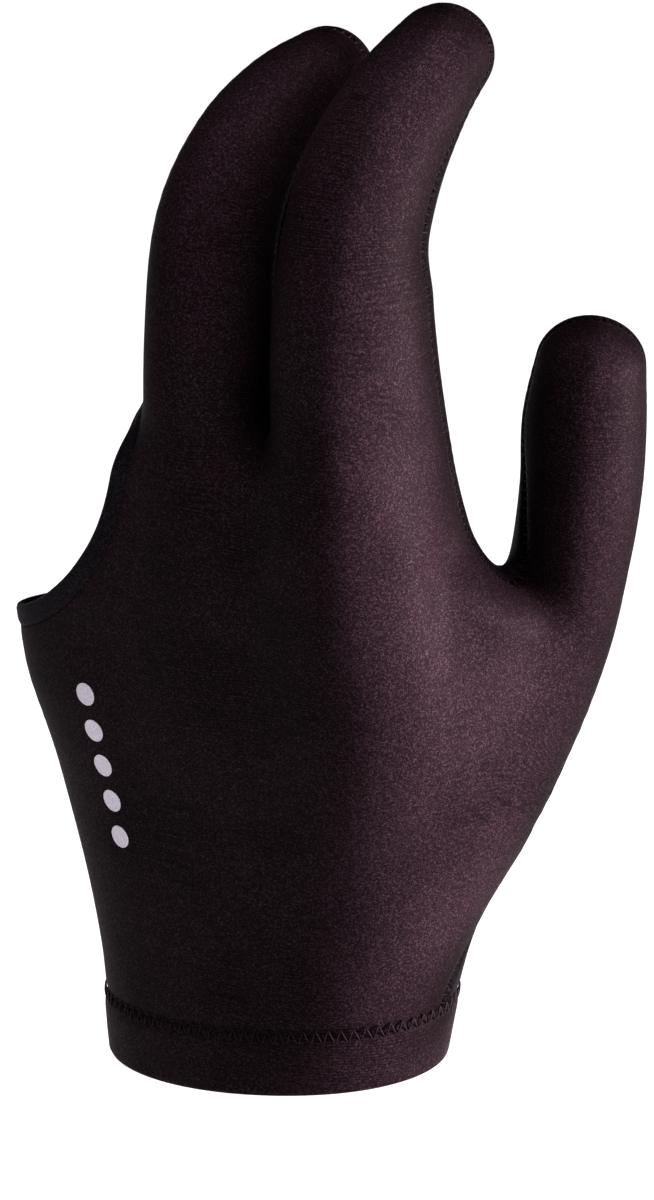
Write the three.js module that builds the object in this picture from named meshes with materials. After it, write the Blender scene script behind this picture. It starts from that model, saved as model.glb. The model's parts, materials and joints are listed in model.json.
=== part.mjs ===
// A three-finger cue glove for the left hand, in stretch cloth.
// Millimetres. The origin is the middle of the wrist opening and +Z runs up the hand to the fingertips.
// The back of the hand faces -Y, the palm faces +Y and the thumb is on the +X side.
import * as THREE from 'three';

// Cloth and hems
const CLOTH = 1.2; // one layer of cloth
const HEM_HEIGHT = 10.5; // folded band round the wrist
const HEM_PROUD = 0.4; // how far the band stands out over the panels
const EDGE_WIDTH = 3; // turned edge round the cut-out for the ring and little fingers
const EDGE_PROUD = 0.25;
const GAP = 0.3; // space left between two pieces
const SEAM_GAP = 0.45; // space left between the two panels along their seam
const RIM_LEAN = { x: 0.1, y: 0.02 }; // rise of the wrist rim per millimetre towards the thumb and the palm

// Facets
const FACET = 5; // spacing of the points on the cloth
const FINGER_GAP_X = 13; // plane between the index and middle fingers, kept on the grid
const SNAP = 0.3; // points nearer to a cut than this share of a facet move onto it
const SLIDES = 3; // passes that even out the points

// Blends between the parts of the hand
const BLEND = { heel: 14, finger: 7, web: 9, thumb: 5.5, thumbBase: 14, fingers: 1.2 };
const THUMB_BASE = { low: 40, high: 82 }; // heights between which the thumb's blend tightens
const SEAM_BLEND = 3.5; // how far one part's seam plane reaches into the next part's

const named = (columns, rows) => rows.map((row) => Object.fromEntries(columns.map((name, i) => [name, row[i]])));

// The hand that fills the glove, as rounded sections from the wrist end to the tip.
// across and deep are half-sizes: across runs thumb side to little-finger side, deep runs back to palm.
const SECTION = ['x', 'y', 'z', 'across', 'deep'];

const palmSections = named(SECTION, [
  [-2.6, 0.4, -14, 29.2, 21.3],
  [-2.4, -0.2, 0, 30.8, 21.6],
  [-1.3, -1.7, 16, 31.8, 20.2],
  [-0.8, -4.5, 32, 33.2, 18],
  [-1.2, -8, 48, 35, 16],
  [-1.4, -11.5, 60, 37, 14.5],
  [-2.5, -14.5, 74, 40, 13.5],
  [-3, -17, 92, 40.5, 13],
  [-3, -18, 106, 37, 12],
]);

const heelSections = named(SECTION, [
  [-12, 4, 8, 12, 12],
  [-18, 1.5, 28, 13, 13],
  [-22, -3, 48, 13, 12],
  [-24, -8, 66, 12, 11],
]);

const indexSections = named(SECTION, [
  [14, -6.7, 44, 11.5, 11],
  [22.3, -12.2, 68, 13.5, 12.2],
  [25, -17, 92, 12.5, 13.5],
  [25.5, -18, 112, 11.6, 13.6],
  [25.5, -18.5, 130, 11.2, 13.2],
  [25.5, -16.5, 146, 11, 12.6],
  [25.6, -11, 158, 10.6, 11.6],
  [26.2, -2.2, 167.5, 9.6, 9.6],
  [27, 6.5, 173.8, 8.2, 8.2],
]);

const middleSections = named(SECTION, [
  [-2, -8, 44, 10, 9],
  [-1, -13, 68, 11, 10.5],
  [0, -17, 92, 11.6, 11.8],
  [0.5, -19, 112, 11.4, 12.6],
  [1, -19.5, 130, 11.2, 12.6],
  [1.2, -17.5, 146, 11, 12],
  [1.7, -10.7, 157, 10.2, 10.6],
  [2.8, -1.8, 164, 9.2, 9.1],
  [4.2, 7.2, 168, 8, 7.8],
]);

const thumbSections = named(SECTION, [
  [8.6, 4, 12, 14, 14],
  [15.8, 8, 30, 14.8, 15.8],
  [24.7, 12, 47, 15.2, 16.2],
  [34.2, 16, 62, 12.4, 14],
  [41.4, 17.9, 76, 10, 11.6],
  [45, 17.7, 90, 9.9, 10.4],
  [46.8, 18, 103, 10.1, 10.4],
  [47.2, 18, 114, 10.2, 10.5],
  [48.2, 18, 123.3, 9.1, 9.4],
]);

const muscleSections = named(SECTION, [
  [20, -2.5, 36, 11, 8.5],
  [25.5, -3.8, 49, 16, 10],
  [30, -5.2, 60, 18.5, 10.8],
  [32.8, -4.4, 69, 17.5, 10],
  [37, 1.6, 82.6, 15, 9],
]);

const webSections = named(SECTION, [
  [28, 4, 58, 9, 9],
  [31.5, 3, 76, 7, 7],
  [32, 0, 91, 5.8, 6],
  [31, -4, 103, 5.6, 6],
  [29, -9, 113, 7.6, 7.6],
  [26.5, -13, 127, 8.9, 9.4],
  [26, -14, 136, 8, 8.8],
]);

// turn is the angle of a part's broad side from +X and seam the angle of its seam plane, both in degrees.
// cap is the roundness of its ends and hold how strongly it draws the seam to its own middle line.
const palm = part(palmSections, { turn: 0, seam: 0, cap: 9, hold: 1 });
const heel = part(heelSections, { turn: 0, seam: 0, cap: 10, hold: 1 });
const indexFinger = part(indexSections, { turn: 0, seam: 17, cap: 7.5, hold: 1 });
const middleFinger = part(middleSections, { turn: 0, seam: 14, cap: 7, hold: 1 });
const thumb = part(thumbSections, { turn: 33, seam: 30, cap: 8, hold: 1 });
const web = part(webSections, { turn: 30, seam: 17, cap: 5, hold: 8 });
const muscle = part(muscleSections, { turn: 62, seam: 17, cap: 8, hold: 1 }); // between the thumb and the index finger
const parts = [palm, heel, indexFinger, middleFinger, thumb, web, muscle];

// The cut-out's edge on the hand: its height above the wrist, from the little-finger side to the middle finger.
const cutOut = named(['x', 'z'], [
  [-60, 75],
  [-44, 75.5],
  [-36, 78],
  [-29, 82],
  [-22, 88],
  [-16, 96],
  [-12.5, 106],
  [-10.5, 120],
  [-9, 150],
  [-8, 200],
]);
const CUT_OUT_CLEAR = 1.3; // cloth left round the base of the middle finger
const CUT_OUT_HOLD = 2.6; // how fast the cut-out ends there
const CUT_OUT_ROUND = 3; // blend of the two

// A smooth value between table rows: the curve through four neighbouring values.
function through(before, from, to, after, t) {
  const slope = (to - before) / 2;
  const nextSlope = (after - from) / 2;
  const rise = to - from;
  return from + t * (slope + t * (3 * rise - 2 * slope - nextSlope + t * (slope + nextSlope - 2 * rise)));
}

// A part of the hand: its sections resampled finely along its middle line, each with its own directions.
function part(sections, { turn, seam, cap, hold }) {
  const STEPS = 5;
  const row = (i) => sections[THREE.MathUtils.clamp(i, 0, sections.length - 1)];
  const blend = (name, i, t) => through(row(i - 1)[name], row(i)[name], row(i + 1)[name], row(i + 2)[name], t);
  const stations = [];
  for (let i = 0; i < sections.length - 1; i += 1) {
    for (let step = 0; step < STEPS; step += 1) stations.push([i, step / STEPS]);
  }
  stations.push([sections.length - 2, 1]);
  const middles = stations.map(([i, t]) => new THREE.Vector3(...['x', 'y', 'z'].map((name) => blend(name, i, t))));
  const angle = (degrees) => new THREE.Vector3(1, 0, 0)
    .applyAxisAngle(new THREE.Vector3(0, 0, 1), THREE.MathUtils.degToRad(degrees));
  const palmward = angle(seam + 90);
  const spans = [];
  for (let i = 0; i < middles.length - 1; i += 1) {
    const along = middles[i + 1].clone().sub(middles[i]);
    const length = along.length();
    along.normalize();
    const across = angle(turn).addScaledVector(along, -angle(turn).dot(along)).normalize();
    const deep = along.clone().cross(across).normalize();
    const half = (name, n) => blend(name, ...stations[n]);
    spans.push({
      from: middles[i], along, across, deep, length,
      acrossFrom: half('across', i), acrossTo: half('across', i + 1),
      deepFrom: half('deep', i), deepTo: half('deep', i + 1),
    });
  }
  return { spans, cap, palmward, hold };
}

// The distance from a point to a part's rounded surface, less than 0 inside, and the nearest middle point.
const offset = new THREE.Vector3();
function reach({ spans, cap }, point, nearest) {
  let best = Infinity;
  for (const span of spans) {
    offset.subVectors(point, span.from);
    const run = THREE.MathUtils.clamp(offset.dot(span.along), 0, span.length);
    const share = run / span.length;
    offset.addScaledVector(span.along, -run);
    const across = span.acrossFrom + (span.acrossTo - span.acrossFrom) * share;
    const deep = span.deepFrom + (span.deepTo - span.deepFrom) * share;
    const u = offset.dot(span.across) / across;
    const v = offset.dot(span.deep) / deep;
    const w = offset.dot(span.along) / cap;
    const level = Math.hypot(u, v, w);
    const steep = Math.hypot(u / across, v / deep, w / cap);
    const distance = steep > 1e-9 ? level * (level - 1) / steep : -Math.min(across, deep);
    if (distance < best) {
      best = distance;
      nearest.subVectors(point, offset);
    }
  }
  return best;
}

const smoothMin = (a, b, width) => {
  const near = Math.max(width - Math.abs(a - b), 0) / width;
  return Math.min(a, b) - near * near * width / 4;
};

const nearestMiddle = new THREE.Vector3();

// The outside of the cloth: 0 on it, more than 0 outside it.
function skin(point) {
  const distances = parts.map((each) => reach(each, point, nearestMiddle));
  const [toPalm, toHeel, toIndex, toMiddle, toThumb, toWeb, toMuscle] = distances;
  const hand = smoothMin(toPalm, toHeel, BLEND.heel);
  const indexSide = smoothMin(smoothMin(toIndex, hand, BLEND.finger), toWeb, BLEND.web);
  const fingers = smoothMin(
    smoothMin(indexSide, toMuscle, BLEND.finger),
    smoothMin(toMiddle, hand, BLEND.finger),
    BLEND.fingers,
  );
  const { clamp, mapLinear } = THREE.MathUtils;
  const { low, high } = THUMB_BASE;
  return smoothMin(fingers, toThumb, mapLinear(clamp(point.z, low, high), low, high, BLEND.thumbBase, BLEND.thumb));
}

// The seam along the outline of the hand: less than 0 on the back, more than 0 on the palm.
function seamSide(point) {
  let total = 0;
  let weights = 0;
  for (const each of parts) {
    const away = Math.max(reach(each, point, nearestMiddle), -4);
    const weight = each.hold * Math.exp(-away / SEAM_BLEND);
    total += weight * nearestMiddle.sub(point).negate().dot(each.palmward);
    weights += weight;
  }
  return total / weights;
}

// The cut-out for the ring and little fingers: more than 0 in the part that is cut away.
const cutOutLine = new THREE.SplineCurve(cutOut.map(({ x, z }) => new THREE.Vector2(x, z))).getPoints(80);
const step = new THREE.Vector2();
const toPoint = new THREE.Vector2();
function cutOutSide(point) {
  let nearest = Infinity;
  let side = 1;
  for (let i = 0; i < cutOutLine.length - 1; i += 1) {
    step.subVectors(cutOutLine[i + 1], cutOutLine[i]);
    toPoint.set(point.x, point.z).sub(cutOutLine[i]);
    const turn = Math.sign(step.cross(toPoint));
    const share = THREE.MathUtils.clamp(toPoint.dot(step) / step.lengthSq(), 0, 1);
    const distance = toPoint.addScaledVector(step, -share).length();
    if (distance < nearest) [nearest, side] = [distance, turn];
  }
  const clear = CUT_OUT_HOLD * (reach(middleFinger, point, nearestMiddle) - CUT_OUT_CLEAR);
  return smoothMin(nearest * side, clear, CUT_OUT_ROUND);
}

// The slope of a function of a point, as a vector.
const PROBE = 0.4;
const AXES = ['x', 'y', 'z'];
const probe = new THREE.Vector3();
function slopeOf(side, point) {
  return new THREE.Vector3(...AXES.map((axis) => {
    const ahead = side(probe.copy(point).setComponent(AXES.indexOf(axis), point[axis] + PROBE));
    const behind = side(probe.copy(point).setComponent(AXES.indexOf(axis), point[axis] - PROBE));
    return (ahead - behind) / (2 * PROBE);
  }));
}

// Moves a point onto the skin.
function ontoSkin(point) {
  for (let pass = 0; pass < 3; pass += 1) {
    const slope = slopeOf(skin, point);
    point.addScaledVector(slope, -skin(point) / Math.max(slope.lengthSq(), 0.2));
  }
  return point;
}

// The slope of a side function along the skin, without the part that leaves the skin.
function slopeAlong(point, side) {
  const out = slopeOf(skin, point).normalize();
  const slope = slopeOf(side, point);
  return slope.addScaledVector(out, -slope.dot(out));
}

// Moves a point along the skin until it lies on the line where the side function is 0.
function ontoCut(point, side) {
  for (let pass = 0; pass < 3; pass += 1) {
    const slope = slopeAlong(point, side);
    ontoSkin(point.addScaledVector(slope, -side(point) / Math.max(slope.lengthSq(), 0.05)));
  }
  return point;
}

// A closed net of facets over the skin: one point in each grid cell that the skin passes through.
function netOver(low, high) {
  const count = AXES.map((axis) => Math.ceil((high[axis] - low[axis]) / FACET) + 1);
  const index = (i, j, k) => i + count[0] * (j + count[1] * k);
  const corner = (i, j, k) => new THREE.Vector3(i, j, k).multiplyScalar(FACET).add(low);
  const levels = new Float64Array(count[0] * count[1] * count[2]);
  for (let k = 0; k < count[2]; k += 1) {
    for (let j = 0; j < count[1]; j += 1) {
      for (let i = 0; i < count[0]; i += 1) levels[index(i, j, k)] = skin(corner(i, j, k));
    }
  }
  const points = [];
  const pointOf = new Map();
  const pointIn = (i, j, k) => {
    const key = index(i, j, k);
    if (!pointOf.has(key)) {
      const middle = new THREE.Vector3();
      let crossings = 0;
      for (let edge = 0; edge < 12; edge += 1) {
        const axis = edge >> 2;
        const step = [0, 0, 0];
        step[(axis + 1) % 3] = edge & 1;
        step[(axis + 2) % 3] = (edge >> 1) & 1;
        const from = [i + step[0], j + step[1], k + step[2]];
        const to = [...from];
        to[axis] += 1;
        const [a, b] = [levels[index(...from)], levels[index(...to)]];
        if (a < 0 !== b < 0) {
          middle.add(corner(...from).lerp(corner(...to), a / (a - b)));
          crossings += 1;
        }
      }
      pointOf.set(key, points.push(ontoSkin(middle.divideScalar(crossings))) - 1);
    }
    return pointOf.get(key);
  };
  const faces = [];
  for (let k = 1; k < count[2] - 1; k += 1) {
    for (let j = 1; j < count[1] - 1; j += 1) {
      for (let i = 1; i < count[0] - 1; i += 1) {
        for (let axis = 0; axis < 3; axis += 1) {
          const next = [i, j, k];
          next[axis] += 1;
          const [a, b] = [levels[index(i, j, k)], levels[index(...next)]];
          if (a < 0 !== b < 0) {
            const [u, v] = [(axis + 1) % 3, (axis + 2) % 3];
            const ring = [[0, 0], [1, 0], [1, 1], [0, 1]].map(([du, dv]) => {
              const cell = [i, j, k];
              cell[u] -= du;
              cell[v] -= dv;
              return pointIn(...cell);
            });
            if (b < 0) ring.reverse();
            const [p, q, r, s] = ring;
            const short = points[p].distanceTo(points[r]) < points[q].distanceTo(points[s]);
            faces.push(...(short ? [[p, q, r], [p, r, s]] : [[q, r, s], [q, s, p]]));
          }
        }
      }
    }
  }
  return { points, faces };
}

// Evens out the net: each point slides towards the middle of its neighbours and back onto the skin.
function evenOut({ points, faces }) {
  const neighbours = points.map(() => new Set());
  for (const face of faces) {
    face.forEach((from, i) => neighbours[from].add(face[(i + 1) % 3]).add(face[(i + 2) % 3]));
  }
  for (let pass = 0; pass < SLIDES; pass += 1) {
    const middles = neighbours.map((set) => {
      const sum = new THREE.Vector3();
      set.forEach((n) => sum.add(points[n]));
      return sum.divideScalar(set.size);
    });
    points.forEach((point, i) => ontoSkin(point.lerp(middles[i], 0.5)));
  }
}

// Parts a net where a side function is 0, and draws both edges back to leave a gap between them.
function divide({ points, faces }, side, gap = GAP) {
  const moved = points.map((point) => point.clone());
  const levels = points.map(side);
  const onCut = levels.map((level, i) => (
    Math.abs(level) < FACET && Math.abs(level) / slopeAlong(points[i], side).length() < SNAP * FACET));
  for (const face of faces) {
    if (face.every((a) => onCut[a])) {
      onCut[face.reduce((far, a) => (Math.abs(levels[a]) > Math.abs(levels[far]) ? a : far))] = false;
    }
  }
  moved.forEach((point, i) => {
    if (!onCut[i]) return;
    ontoCut(point, side);
    levels[i] = 0;
  });
  const cutPoints = new Map();
  const between = (a, b) => {
    const key = a < b ? `${a},${b}` : `${b},${a}`;
    if (!cutPoints.has(key)) {
      const point = moved[a].clone().lerp(moved[b], levels[a] / (levels[a] - levels[b]));
      levels.push(0);
      cutPoints.set(key, moved.push(ontoCut(point, side)) - 1);
    }
    return cutPoints.get(key);
  };
  const keep = (sign) => {
    const kept = [];
    for (const face of faces) {
      const loop = [];
      face.forEach((a, n) => {
        const b = face[(n + 1) % 3];
        if (levels[a] * sign >= 0) loop.push(a);
        if (levels[a] * levels[b] < 0) loop.push(between(a, b));
      });
      const inside = loop.some((a) => levels[a] * sign > 0);
      if (inside) for (let n = 2; n < loop.length; n += 1) kept.push([loop[0], loop[n - 1], loop[n]]);
    }
    const used = [...new Set(kept.flat())];
    const place = new Map(used.map((old, n) => [old, n]));
    const drawnBack = (old) => {
      const point = moved[old].clone();
      if (levels[old] !== 0 || gap === 0) return point;
      return ontoSkin(point.addScaledVector(slopeAlong(point, side).normalize(), sign * gap / 2));
    };
    return { points: used.map(drawnBack), faces: kept.map((face) => face.map((old) => place.get(old))) };
  };
  return [keep(-1), keep(1)];
}

// Gives a net its thickness: an outer and an inner layer, joined by a wall round every edge.
function thicken({ points, faces }, proud) {
  const out = points.map((point) => slopeOf(skin, point).normalize());
  out.forEach((direction, i) => {
    if (aboveRim(points[i]) < GAP) direction.setZ(RIM_LEAN.x * direction.x + RIM_LEAN.y * direction.y).normalize();
  });
  const outer = points.map((point, i) => point.clone().addScaledVector(out[i], proud));
  const inner = points.map((point, i) => point.clone().addScaledVector(out[i], -CLOTH - proud));
  const total = points.length;
  const triangles = faces.flatMap(([a, b, c]) => [[a, b, c], [a + total, c + total, b + total]]);
  const directed = new Set(faces.flatMap(([a, b, c]) => [`${a},${b}`, `${b},${c}`, `${c},${a}`]));
  for (const edge of directed) {
    const [a, b] = edge.split(',').map(Number);
    if (!directed.has(`${b},${a}`)) triangles.push([b, a, a + total], [b, a + total, b + total]);
  }
  const geometry = new THREE.BufferGeometry().setFromPoints([...outer, ...inner]);
  geometry.setIndex(triangles.flat());
  geometry.computeVertexNormals();
  return geometry;
}

function piece(name, geometry, color, roughness) {
  const mesh = new THREE.Mesh(geometry, new THREE.MeshStandardMaterial({ color, roughness, metalness: 0 }));
  mesh.name = name;
  return mesh;
}

const aboveRim = (point) => point.z - RIM_LEAN.x * point.x - RIM_LEAN.y * point.y;

const net = netOver(new THREE.Vector3(FINGER_GAP_X - 16 * FACET, -42, -10), new THREE.Vector3(66, 42, 194));
evenOut(net);
const [, whole] = divide(net, aboveRim, 0);
const [hem, upper] = divide(whole, (point) => aboveRim(point) - HEM_HEIGHT);
const [cloth] = divide(upper, cutOutSide, 0);
const [panels, edge] = divide(cloth, (point) => cutOutSide(point) + EDGE_WIDTH);
const [back, front] = divide(panels, seamSide, SEAM_GAP);

const glove = new THREE.Group();
glove.add(
  piece('back_panel', thicken(back, 0), 0x2b2228, 0.7),
  piece('palm_panel', thicken(front, 0), 0x1d1a22, 0.75),
  piece('wrist_hem', thicken(hem, HEM_PROUD), 0x2b2228, 0.75),
  piece('opening_hem', thicken(edge, EDGE_PROUD), 0x1d1a22, 0.75),
);

export default glove;
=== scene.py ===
# %% [markdown]
# This lesson makes a three-finger cue glove for the left hand, in black stretch cloth, as it looks on a
# hand. The cloth is one thin sheet drawn over a rounded form, so the lesson first describes that form with
# a few short tables, then lays a fine net over it, cuts the net into the glove's four pieces and gives them
# a thickness. Thread, print and finishes come after that.

import json
import math

import bpy
import numpy as np
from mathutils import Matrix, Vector
from mathutils.kdtree import KDTree

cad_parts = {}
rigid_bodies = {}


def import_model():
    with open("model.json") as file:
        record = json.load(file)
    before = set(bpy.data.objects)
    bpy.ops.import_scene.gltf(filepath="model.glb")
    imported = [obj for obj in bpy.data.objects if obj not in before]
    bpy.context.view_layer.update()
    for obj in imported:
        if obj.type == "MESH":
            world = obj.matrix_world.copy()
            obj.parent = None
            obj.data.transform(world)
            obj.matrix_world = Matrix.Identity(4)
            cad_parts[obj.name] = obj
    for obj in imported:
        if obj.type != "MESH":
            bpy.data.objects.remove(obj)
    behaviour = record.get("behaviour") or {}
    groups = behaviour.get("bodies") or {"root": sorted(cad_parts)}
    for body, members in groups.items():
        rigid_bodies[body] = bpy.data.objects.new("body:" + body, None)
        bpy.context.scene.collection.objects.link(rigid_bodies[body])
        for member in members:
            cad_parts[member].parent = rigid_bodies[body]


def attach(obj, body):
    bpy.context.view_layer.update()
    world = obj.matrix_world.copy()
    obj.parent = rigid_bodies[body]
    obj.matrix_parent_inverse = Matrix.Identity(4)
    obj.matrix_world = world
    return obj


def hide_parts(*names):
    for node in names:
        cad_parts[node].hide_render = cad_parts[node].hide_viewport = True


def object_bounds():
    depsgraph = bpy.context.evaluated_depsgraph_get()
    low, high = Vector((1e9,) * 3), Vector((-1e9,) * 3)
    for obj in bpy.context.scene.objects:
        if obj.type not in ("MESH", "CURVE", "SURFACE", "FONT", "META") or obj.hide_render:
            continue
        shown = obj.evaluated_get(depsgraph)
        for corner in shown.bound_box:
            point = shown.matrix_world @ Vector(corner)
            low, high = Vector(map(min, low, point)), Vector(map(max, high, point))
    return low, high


for left in list(bpy.data.objects):  # the startup file's own things
    bpy.data.objects.remove(left)
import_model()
cad_low, cad_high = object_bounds()
MM = 0.001  # the tables below are in millimetres, and meshes are made in metres
BODY = "root"
print("packed box in mm:", [round(v / MM, 1) for v in (*cad_low, *cad_high)])


def placed(name, data):
    """A new object for a mesh, lamp or camera, linked to the scene."""
    thing = bpy.data.objects.new(name, data)
    bpy.context.scene.collection.objects.link(thing)
    return thing



# %% [markdown]
# Stretch cloth shows the hand that fills it. Each part of that hand is a row of oval sections along a bent
# middle line, the way a sculptor builds a finger from slices. The tables name the middle of each section
# (x, y, z) and its half-sizes: across runs from the thumb side to the little-finger side, deep from the
# back to the palm. The back of the hand faces -Y, the fingers point up +Z and the thumb is on the +X side.

# %% Sections of the hand
palm_sections = [
    (-2.6, 0.4, -14, 29.2, 21.3),
    (-2.4, -0.2, 0, 30.8, 21.6),
    (-1.3, -1.7, 16, 31.8, 20.2),
    (-0.8, -4.5, 32, 33.2, 18),
    (-1.2, -8, 48, 35, 16),
    (-1.4, -11.5, 60, 37, 14.5),
    (-2.5, -14.5, 74, 40, 13.5),
    (-3, -17, 92, 40.5, 13),
    (-3, -18, 106, 37, 12),
]
heel_sections = [
    (-12, 4, 8, 12, 12),
    (-18, 1.5, 28, 13, 13),
    (-22, -3, 48, 13, 12),
    (-24, -8, 66, 12, 11),
]
index_sections = [
    (14, -6.7, 44, 11.5, 11),
    (22.3, -12.2, 68, 13.5, 12.2),
    (25, -17, 92, 12.5, 13.5),
    (25.5, -18, 112, 11.6, 13.6),
    (25.5, -18.5, 130, 11.2, 13.2),
    (25.5, -16.5, 146, 11, 12.6),
    (25.6, -11, 158, 10.6, 11.6),
    (26.2, -2.2, 167.5, 9.6, 9.6),
    (27, 6.5, 173.8, 8.2, 8.2),
]
middle_sections = [
    (-2, -8, 44, 10, 9),
    (-1, -13, 68, 11, 10.5),
    (0, -17, 92, 11.6, 11.8),
    (0.5, -19, 112, 11.4, 12.6),
    (1, -19.5, 130, 11.2, 12.6),
    (1.2, -17.5, 146, 11, 12),
    (1.7, -10.7, 157, 10.2, 10.6),
    (2.8, -1.8, 164, 9.2, 9.1),
    (4.2, 7.2, 168, 8, 7.8),
]
thumb_sections = [
    (8.6, 4, 12, 14, 14),
    (15.8, 8, 30, 14.8, 15.8),
    (24.7, 12, 47, 15.2, 16.2),
    (34.2, 16, 62, 12.4, 14),
    (41.4, 17.9, 76, 10, 11.6),
    (45, 17.7, 90, 9.9, 10.4),
    (46.8, 18, 103, 10.1, 10.4),
    (47.2, 18, 114, 10.2, 10.5),
    (48.2, 18, 123.3, 9.1, 9.4),
]
muscle_sections = [
    (20, -2.5, 36, 11, 8.5),
    (25.5, -3.8, 49, 16, 10),
    (30, -5.2, 60, 18.5, 10.8),
    (32.8, -4.4, 69, 17.5, 10),
    (37, 1.6, 82.6, 15, 9),
]
web_sections = [
    (28, 4, 58, 9, 9),
    (31.5, 3, 76, 7, 7),
    (32, 0, 91, 5.8, 6),
    (31, -4, 103, 5.6, 6),
    (29, -9, 113, 7.6, 7.6),
    (26.5, -13, 127, 8.9, 9.4),
    (26, -14, 136, 8, 8.8),
]

# %% [markdown]
# Between two rows of a table the section changes smoothly: each column is read off a curve through its four
# neighbouring values. A part of the hand can then say how far any point is from its surface, which
# Blender's own metaballs can't do for oval, tapering forms. The sums are done on whole arrays of points, so
# they stay quick.

# %% A part of the hand
STEPS = 5
FAR = 30.0  # distance given to points that are well away from a part
MARGIN = 15  # points further than this beyond a part's widest section are well away


def between_rows(before, start, end, after, share):
    slope = (end - before) / 2
    next_slope = (after - start) / 2
    rise = end - start
    bend = 3 * rise - 2 * slope - next_slope
    return start + share * (slope + share * (bend + share * (slope + next_slope - 2 * rise)))


def resampled(rows, steps=STEPS):
    rows = np.array(rows, float)
    padded = np.vstack([rows[:1], rows, rows[-1:]])
    places = [(i, step / steps) for i in range(len(rows) - 1) for step in range(steps)]
    fine = [between_rows(*padded[i:i + 4], share) for i, share in places]
    return np.array([*fine, rows[-1]])


def lengths_of(vectors):
    return np.linalg.norm(vectors, axis=1)


def unit(vectors):
    return vectors / np.maximum(np.linalg.norm(vectors, axis=-1, keepdims=True), 1e-12)


def level_direction(degrees):
    return np.array([math.cos(math.radians(degrees)), math.sin(math.radians(degrees)), 0.0])


class HandPart:
    """Oval sections along a middle line. seam is its seam plane's angle, hold its pull on the seam."""

    def __init__(self, sections, turn, seam, cap, hold=1):
        fine = resampled(sections)
        middles = fine[:, :3]
        runs = np.diff(middles, axis=0)
        self.lengths = lengths_of(runs)
        self.along = unit(runs)
        broad = level_direction(turn)
        self.across = unit(broad - (self.along @ broad)[:, None] * self.along)
        self.deep = unit(np.cross(self.along, self.across))
        self.starts = middles[:-1]
        self.halves = fine[:, 3:]
        self.passed = middles[0, 2] + np.concatenate([[0], np.cumsum(self.lengths)])
        self.cap, self.hold = cap, hold
        self.palmward = level_direction(seam + 90)
        margin = self.halves.max() + MARGIN
        self.low, self.high = middles.min(0) - margin, middles.max(0) + margin

    def reach(self, points):
        """Each point's distance to the surface, its offset from the middle line and its place along it."""
        distance = np.full(len(points), FAR)
        offset = np.zeros((len(points), 3))
        passed = points[:, 2].copy()
        near = np.flatnonzero(np.all((points > self.low) & (points < self.high), axis=1))
        if not len(near):
            return distance, offset, passed
        close = points[near]
        best, best_offset, best_run = distance[near], offset[near], passed[near]
        for i, length in enumerate(self.lengths):
            away = close - self.starts[i]
            run = np.clip(away @ self.along[i], 0, length)
            away -= run[:, None] * self.along[i]
            growth = self.halves[i + 1] - self.halves[i]
            across, deep = (self.halves[i] + growth * (run / length)[:, None]).T
            u = away @ self.across[i] / across
            v = away @ self.deep[i] / deep
            w = away @ self.along[i] / self.cap
            level = np.sqrt(u * u + v * v + w * w)
            steep = np.sqrt((u / across) ** 2 + (v / deep) ** 2 + (w / self.cap) ** 2)
            here = level * (level - 1) / np.maximum(steep, 1e-9)
            better = here < best
            best[better] = here[better]
            best_offset[better] = away[better]
            best_run[better] = self.passed[i] + run[better]
        distance[near], offset[near], passed[near] = best, best_offset, best_run
        return distance, offset, passed


palm = HandPart(palm_sections, turn=0, seam=0, cap=9)
heel = HandPart(heel_sections, turn=0, seam=0, cap=10)
index_finger = HandPart(index_sections, turn=0, seam=17, cap=7.5)
middle_finger = HandPart(middle_sections, turn=0, seam=14, cap=7)
thumb = HandPart(thumb_sections, turn=33, seam=30, cap=8)
web = HandPart(web_sections, turn=30, seam=17, cap=5, hold=8)
muscle = HandPart(muscle_sections, turn=62, seam=17, cap=8)  # between the thumb and the index finger
hand_parts = [palm, heel, index_finger, middle_finger, thumb, web, muscle]
print("spans in each part:", [len(each.lengths) for each in hand_parts])

# %% [markdown]
# The parts melt into each other where the cloth bridges them: widely at the ball of the thumb, tightly in
# the groove between two fingers. skin() is 0 on the outside of the cloth. The three side functions say
# where the glove is cut: the wrist rim, the cut-out for the ring and little fingers, and the seam between
# back and palm.

# %% The skin and the cuts
BLEND = {"heel": 14, "finger": 7, "web": 9, "thumb": 5.5, "thumb base": 14, "fingers": 1.2}
THUMB_BASE_HEIGHTS = (40, 82)  # the thumb's blend tightens between these heights
SEAM_BLEND = 3.5
RIM_LEAN = np.array([0.1, 0.02])  # rise of the wrist rim per millimetre towards the thumb and the palm
HEM_HEIGHT = 10.5
EDGE_WIDTH = 3
cut_out_rows = [
    (-60, 75),
    (-44, 75.5),
    (-36, 78),
    (-29, 82),
    (-22, 88),
    (-16, 96),
    (-12.5, 106),
    (-10.5, 120),
    (-9, 150),
    (-8, 200),
]
CUT_OUT_CLEAR = 1.3
CUT_OUT_HOLD = 2.6
CUT_OUT_ROUND = 3
cut_out_line = resampled(cut_out_rows, 9)


def smooth_min(a, b, width):
    near = np.maximum(width - np.abs(a - b), 0) / width
    return np.minimum(a, b) - near * near * width / 4


def skin(points):
    distances = [each.reach(points)[0] for each in hand_parts]
    to_palm, to_heel, to_index, to_middle, to_thumb, to_web, to_muscle = distances
    hand = smooth_min(to_palm, to_heel, BLEND["heel"])
    index_side = smooth_min(smooth_min(to_index, hand, BLEND["finger"]), to_web, BLEND["web"])
    index_side = smooth_min(index_side, to_muscle, BLEND["finger"])
    middle_side = smooth_min(to_middle, hand, BLEND["finger"])
    fingers = smooth_min(index_side, middle_side, BLEND["fingers"])
    width = np.interp(points[:, 2], THUMB_BASE_HEIGHTS, (BLEND["thumb base"], BLEND["thumb"]))
    return smooth_min(fingers, to_thumb, width)


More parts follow.
